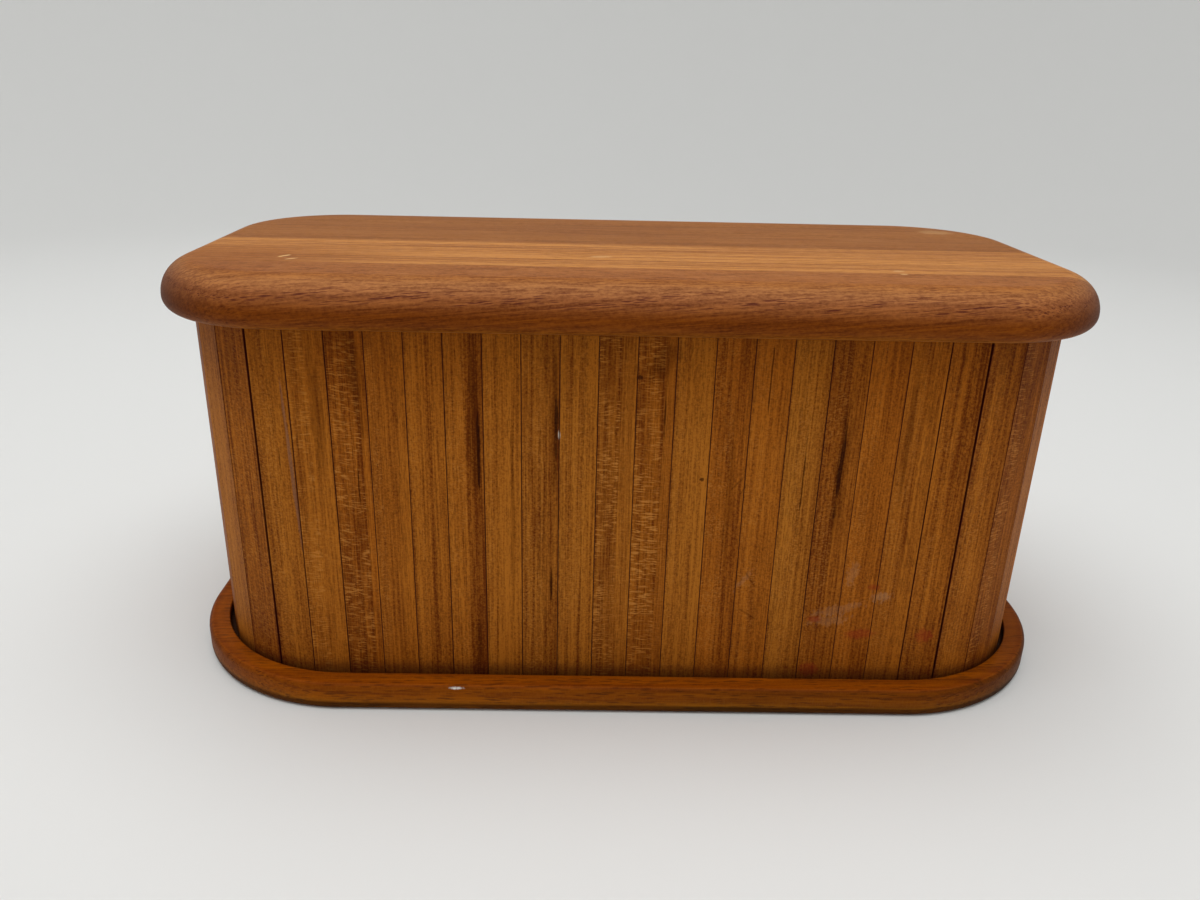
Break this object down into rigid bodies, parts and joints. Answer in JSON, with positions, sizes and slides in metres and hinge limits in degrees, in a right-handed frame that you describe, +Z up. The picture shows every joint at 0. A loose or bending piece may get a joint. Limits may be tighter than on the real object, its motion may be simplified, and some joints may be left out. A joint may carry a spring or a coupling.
{
  "type": "tambour box with lift-off lid",
  "caption": "Rounded rectangular keepsake box: upright teak slats on canvas stand in a rimmed base under a thick lift-off lid with a bullnose edge.",
  "frame": {"origin": "under the middle of the base, on the surface it stands on", "axes": "+X along the length, to the right seen from the front; -Y towards the front; +Z up"},
  "size_m": [0.334, 0.163, 0.1545],
  "materials": {
    "lid_teak": "rubbed oil, satin",
    "slat_teak": "rubbed oil, satin",
    "base_teak": "rubbed oil, satin",
    "plywood": "sanded, unfinished",
    "canvas": "plain weave cotton, glued",
    "brass_screws": "dull"
  },
  "bodies": {
    "box": {"base_board": "base_teak", "floor_panel": "plywood", "base_screws": "brass_screws", "canvas_backing": "canvas", "top_ring": "plywood", "front_slat_01": "slat_teak", "front_slat_02": "slat_teak", "front_slat_03": "slat_teak", "front_slat_04": "slat_teak", "front_slat_05": "slat_teak", "front_slat_06": "slat_teak", "front_slat_07": "slat_teak", "front_slat_08": "slat_teak", "front_slat_09": "slat_teak", "front_slat_10": "slat_teak", "front_slat_11": "slat_teak", "front_slat_12": "slat_teak", "front_slat_13": "slat_teak", "front_slat_14": "slat_teak", "front_slat_15": "slat_teak", "front_slat_16": "slat_teak", "front_slat_17": "slat_teak", "front_slat_18": "slat_teak", "front_slat_19": "slat_teak", "front_slat_20": "slat_teak", "front_slat_21": "slat_teak", "front_slat_22": "slat_teak", "front_slat_23": "slat_teak", "front_slat_24": "slat_teak", "front_slat_25": "slat_teak", "front_slat_26": "slat_teak", "front_slat_27": "slat_teak", "back_slats_01": "slat_teak", "back_slats_02": "slat_teak", "back_slats_03": "slat_teak", "back_slats_04": "slat_teak", "back_slats_05": "slat_teak", "back_slats_06": "slat_teak", "back_slats_07": "slat_teak", "back_slats_08": "slat_teak", "back_slats_09": "slat_teak", "back_slats_10": "slat_teak", "back_slats_11": "slat_teak", "back_slats_12": "slat_teak", "back_slats_13": "slat_teak", "back_slats_14": "slat_teak", "back_slats_15": "slat_teak", "back_slats_16": "slat_teak", "back_slats_17": "slat_teak", "back_slats_18": "slat_teak"},
    "lid": {"lid_board_front": "lid_teak", "lid_board_middle": "lid_teak", "lid_board_back": "lid_teak", "lid_panel": "plywood"}
  },
  "joints": [
    {"name": "lid_lift", "type": "slide", "parent": "box", "child": "lid", "axis": [0, 0, 1], "range_m": [0, 0.12]}
  ]
}
